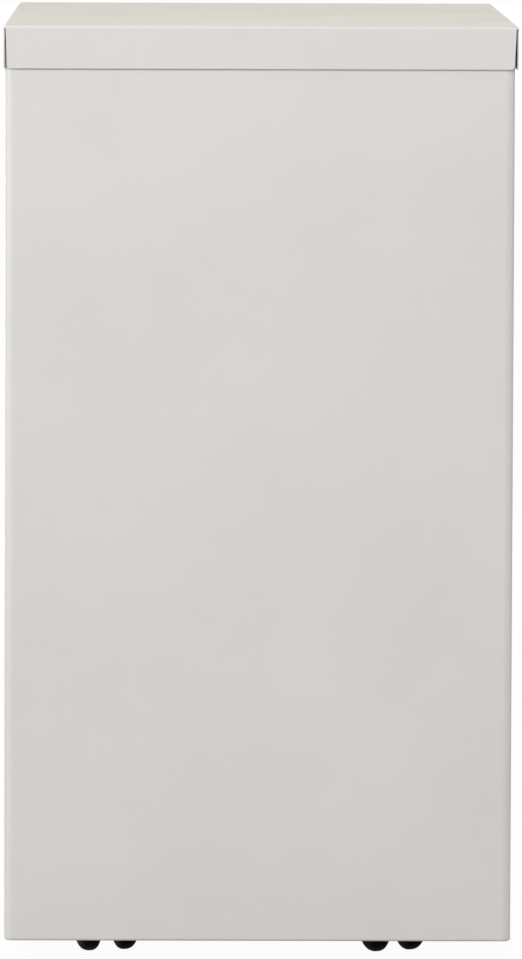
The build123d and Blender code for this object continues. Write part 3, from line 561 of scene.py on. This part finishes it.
class PEDESTAL_OT_tubs(bpy.types.Operator):
    """Thin powder coat on the drawer tubs, dusty on their floors"""
    bl_idname = "pedestal.tubs"
    bl_label = "Drawer tubs"

    def execute(self, context):
        paint = context.scene.pedestal_paint
        tub = powder_coat("Tub powder coat", tuple(paint.tub_colour), paint, dust=0.35, wave=0.8)
        give(tub, *[d + "_drawer_tub" for d in DRAWERS])
        return {"FINISHED"}


class PEDESTAL_OT_uprights(bpy.types.Operator):
    """Galvanised sheet on the four uprights"""
    bl_idname = "pedestal.uprights"
    bl_label = "Uprights"

    def execute(self, context):
        metal = context.scene.pedestal_metal
        sheet = galvanised("Galvanised sheet", tuple(metal.galvanised_colour), metal)
        give(sheet, *["upright_%s_%s" % (end, side) for end in ENDS for side in SIDES])
        return {"FINISHED"}


class PEDESTAL_OT_slides(bpy.types.Operator):
    """Zinc plate on the slides, and steel on their ball cages"""
    bl_idname = "pedestal.slides"
    bl_label = "Slides and ball cages"

    def execute(self, context):
        metal = context.scene.pedestal_metal
        zinc = tuple(metal.zinc_colour)
        rail = plated("Slide rail zinc", zinc, metal, ALONG_Y, rough=0.30)
        runner = plated("Slide runner zinc", tinted(zinc, 1.04), metal, ALONG_Y, rough=0.22)
        for side in SIDES:
            give(rail, *["%s_slide_%s_rail" % (d, side) for d in DRAWERS])
            give(runner, *["%s_slide_%s_runner" % (d, side) for d in DRAWERS])
            give(runner, "file_slide_%s_link" % side)
        cages = polished("Ball and cage steel", CAGE_STEEL, rough=0.16)
        give(cages, "upper_ball_cages", "middle_ball_cages", "file_outer_ball_cages",
             "file_inner_ball_cages")
        return {"FINISHED"}


class PEDESTAL_OT_lock(bpy.types.Operator):
    """Bright plate on the lock, zinc plate on its cam and bar"""
    bl_idname = "pedestal.lock"
    bl_label = "Lock"

    def execute(self, context):
        metal = context.scene.pedestal_metal
        chrome = tuple(metal.chrome_colour)
        zinc = tuple(metal.zinc_colour)
        give(polished("Lock housing plate", chrome, rough=0.12), "lock_housing")
        give(polished("Lock plug plate", tinted(chrome, 0.94), rough=0.17), "lock_plug")
        give(plated("Lock cam zinc", zinc, metal, (1.0, 1.0, 0.2)), "lock_cam")
        give(plated("Lock bar zinc", zinc, metal, ALONG_Z, rough=0.32), "lock_bar")
        return {"FINISHED"}


class PEDESTAL_OT_ballast(bpy.types.Operator):
    """Black dip on the cast counterweight"""
    bl_idname = "pedestal.ballast"
    bl_label = "Counterweight"

    def execute(self, context):
        metal = context.scene.pedestal_metal
        give(dipped_casting("Dipped iron", tuple(metal.cast_colour)), "counterweight")
        return {"FINISHED"}


class PEDESTAL_OT_fasteners(bpy.types.Operator):
    """Zinc plate on the slide screws and the caster stems"""
    bl_idname = "pedestal.fasteners"
    bl_label = "Screws and stems"

    def execute(self, context):
        metal = context.scene.pedestal_metal
        zinc = tuple(metal.zinc_colour)
        give(plated("Screw zinc", tinted(zinc, 0.95), metal, (0.3, 1.0, 1.0)), "slide_screws")
        give(plated("Stem zinc", tinted(zinc, 0.90), metal, (1.0, 1.0, 0.3)), "caster_stems")
        return {"FINISHED"}


class PEDESTAL_OT_tray(bpy.types.Operator):
    """Moulded plastic on the pencil tray"""
    bl_idname = "pedestal.tray"
    bl_label = "Pencil tray"

    def execute(self, context):
        plastic = context.scene.pedestal_plastic
        tray = moulded("Tray plastic", tuple(plastic.tray_colour), plastic, rough=0.50, dust=0.12)
        give(tray, "pencil_tray")
        return {"FINISHED"}


class PEDESTAL_OT_folder_rails(bpy.types.Operator):
    """Satin aluminium on the rails for hanging folders"""
    bl_idname = "pedestal.folder_rails"
    bl_label = "Folder rails"

    def execute(self, context):
        metal = context.scene.pedestal_metal
        rail = plated("Rail aluminium", tuple(metal.rail_colour), metal, (1.0, 0.02, 1.0),
                      rough=0.36, dark=0.86)
        give(rail, "hang_rails")
        return {"FINISHED"}


class PEDESTAL_OT_casters(bpy.types.Operator):
    """Moulded nylon on the caster housings and wheels, and steel on their axles"""
    bl_idname = "pedestal.casters"
    bl_label = "Casters"

    def execute(self, context):
        plastic = context.scene.pedestal_plastic
        metal = context.scene.pedestal_metal
        hood = moulded("Caster nylon", tuple(plastic.hood_colour), plastic,
                       rough=0.46, dust=0.05, scuff=0.12, shine=0.2)
        tread = moulded("Wheel nylon", tuple(plastic.tread_colour), plastic,
                        rough=0.44, dust=0.02, scuff=0.05, shine=0.04)
        axle = plated("Axle steel", tuple(metal.zinc_colour), metal, EVEN, rough=0.3)
        for place in CASTERS:
            give(hood, "caster_%s_housing" % place)
            give(axle, "caster_%s_axle" % place)
            give(tread, "caster_%s_wheel_a" % place, "caster_%s_wheel_b" % place)
        return {"FINISHED"}


def area_lamp(name, energy, place, target, size, tint=WHITE):
    """A rectangular lamp that faces a point."""
    data = bpy.data.lights.new(name, "AREA")
    data.shape = "RECTANGLE"
    data.size, data.size_y = size
    data.energy = energy
    data.color = tint
    lamp = bpy.data.objects.new(name, data)
    bpy.context.scene.collection.objects.link(lamp)
    lamp.location = place
    lamp.rotation_mode = "QUATERNION"
    lamp.rotation_quaternion = (Vector(target) - Vector(place)).to_track_quat("-Z", "Y")


def seen_directly(g, in_gloss=1.0):
    """1 for rays from the camera or through glass, and in_gloss for those off a glossy face."""
    path = g.add("ShaderNodeLightPath")
    gloss = g.math("MULTIPLY", path.outputs["Is Glossy Ray"], in_gloss)
    seen = g.math("MAXIMUM", path.outputs["Is Camera Ray"], gloss)
    return g.math("MAXIMUM", seen, path.outputs["Is Transmission Ray"])


class PEDESTAL_OT_stage(bpy.types.Operator):
    """Set the camera, the lamps, the sky and the pale floor"""
    bl_idname = "pedestal.stage"
    bl_label = "Studio"

    def execute(self, context):
        scene = context.scene
        stage = scene.pedestal_stage
        self.camera(scene, stage)
        self.sky(scene, stage)
        self.floor(scene, stage)
        low, high = CAD_BOX
        middle = (low + high) / 2
        area_lamp("Key lamp", stage.key_power,
                  place=(0.3, 2.9, 2.5), target=(0.0, 0.3, 0.45), size=(2.2, 1.6))
        area_lamp("Top lamp", stage.top_power,
                  place=(0.0, -1.2, 2.3), target=(0.0, 0.0, 0.7), size=(1.6, 0.8), tint=WARM_LIGHT)
        area_lamp("Side lamp", stage.side_power,
                  place=(2.6, 1.1, 1.0), target=(0.15, 0.2, 0.45), size=(0.8, 1.8))
        area_lamp("Fill lamp", stage.fill_power,
                  place=(-2.6, 1.3, 1.0), target=(-0.15, 0.2, 0.45), size=(0.8, 1.8))
        area_lamp("Front lamp", stage.front_power, place=(1.0, -3.2, FRONT_LAMP_HEIGHT),
                  target=(middle.x, middle.y, FRONT_LAMP_HEIGHT), size=(2.4, 0.6))
        scene.view_settings.view_transform = "Standard"
        return {"FINISHED"}

    def camera(self, scene, stage):
        """A long lens behind the cabinet, looking slightly down at its back panel."""
        data = bpy.data.cameras.new("Camera")
        data.sensor_fit = "AUTO"
        data.sensor_width = SENSOR_WIDTH
        data.lens = stage.lens
        data.clip_start, data.clip_end = 0.1, 100.0
        pitch, yaw, roll = stage.camera_pitch, stage.camera_yaw, stage.camera_roll
        forward = Vector((math.sin(yaw) * math.cos(pitch), -math.cos(yaw) * math.cos(pitch),
                          -math.sin(pitch)))
        level = Vector((-math.cos(yaw), -math.sin(yaw), 0.0))
        above = level.cross(forward)
        right = math.cos(roll) * level + math.sin(roll) * above
        up = math.cos(roll) * above - math.sin(roll) * level
        camera = bpy.data.objects.new("Camera", data)
        scene.collection.objects.link(camera)
        turn = Matrix((right, up, -forward)).transposed().to_4x4()
        camera.matrix_world = Matrix.Translation(Vector(stage.camera_place)) @ turn
        scene.camera = camera

    def sky(self, scene, stage):
        """Even pale light all round, white where it is seen."""
        world = bpy.data.worlds.new("Sky")
        world.use_nodes = True
        world.node_tree.nodes.clear()
        g = Graph(world.node_tree)
        light = self.glow(g, "ShaderNodeBackground", stage.sky)
        white = self.glow(g, "ShaderNodeBackground", 1.0)
        both = self.blend(g, seen_directly(g), light, white)
        g.join(both.outputs[0], g.add("ShaderNodeOutputWorld").inputs[0])
        scene.world = world

    def floor(self, scene, stage):
        """A wide pale floor that keeps a soft shadow."""
        bpy.ops.mesh.primitive_grid_add(x_subdivisions=8, y_subdivisions=8, size=FLOOR_SIZE,
                                        location=(0.0, 0.0, 0.0))
        floor = bpy.context.object
        floor.name = "Floor"
        material = bpy.data.materials.new("Pale floor")
        material.use_nodes = True
        material.node_tree.nodes.clear()
        g = Graph(material.node_tree)
        lit = self.glow(g, "ShaderNodeEmission", 1.0)
        shaded = self.diffuse(g, FLOOR_TONE)
        seen = self.blend(g, stage.floor_shadow, lit, shaded)
        bounce = self.diffuse(g, stage.floor_bounce)
        both = self.blend(g, seen_directly(g, FLOOR_IN_GLOSS), bounce, seen)
        g.join(both.outputs[0], g.add("ShaderNodeOutputMaterial").inputs[0])
        floor.data.materials.append(material)

    def glow(self, g, kind, strength):
        """A white emission or background of a given strength."""
        node = g.add(kind)
        node.inputs["Color"].default_value = (*WHITE, 1.0)
        node.inputs["Strength"].default_value = strength
        return node

    def diffuse(self, g, tone):
        """A matt grey."""
        node = g.add("ShaderNodeBsdfDiffuse")
        node.inputs["Color"].default_value = (tone, tone, tone, 1.0)
        return node

    def blend(self, g, factor, first, second):
        """The first shader where the factor is 0 and the second where it is 1."""
        node = g.add("ShaderNodeMixShader")
        g.put(node.inputs[0], factor)
        g.join(first.outputs[0], node.inputs[1])
        g.join(second.outputs[0], node.inputs[2])
        return node


OPERATORS = (
    PEDESTAL_OT_groups, PEDESTAL_OT_case, PEDESTAL_OT_fronts, PEDESTAL_OT_tubs,
    PEDESTAL_OT_uprights, PEDESTAL_OT_slides, PEDESTAL_OT_lock, PEDESTAL_OT_ballast,
    PEDESTAL_OT_fasteners, PEDESTAL_OT_tray, PEDESTAL_OT_folder_rails, PEDESTAL_OT_casters,
    PEDESTAL_OT_stage,
)


class PEDESTAL_PT_build(bpy.types.Panel):
    """Lists the pedestal's operators and settings"""
    bl_idname = "PEDESTAL_PT_build"
    bl_label = "Steel Mobile Pedestal"
    bl_space_type = "VIEW_3D"
    bl_region_type = "UI"
    bl_category = "Pedestal"

    def draw(self, context):
        for operator in OPERATORS:
            self.layout.operator(operator.bl_idname)
        for name, kind in SETTINGS:
            box = self.layout.box()
            box.label(text=kind.__doc__)
            for field in kind.__annotations__:
                box.prop(getattr(context.scene, name), field)


def register():
    for name, kind in SETTINGS:
        bpy.utils.register_class(kind)
        setattr(bpy.types.Scene, name, PointerProperty(type=kind))
    for kind in (*OPERATORS, PEDESTAL_PT_build):
        bpy.utils.register_class(kind)


def unregister():
    for kind in reversed((*OPERATORS, PEDESTAL_PT_build)):
        bpy.utils.unregister_class(kind)
    for name, kind in reversed(SETTINGS):
        delattr(bpy.types.Scene, name)
        bpy.utils.unregister_class(kind)


def main():
    register()
    for operator in OPERATORS:
        group, action = operator.bl_idname.split(".")
        getattr(getattr(bpy.ops, group), action)()


if __name__ == "__main__":
    main()
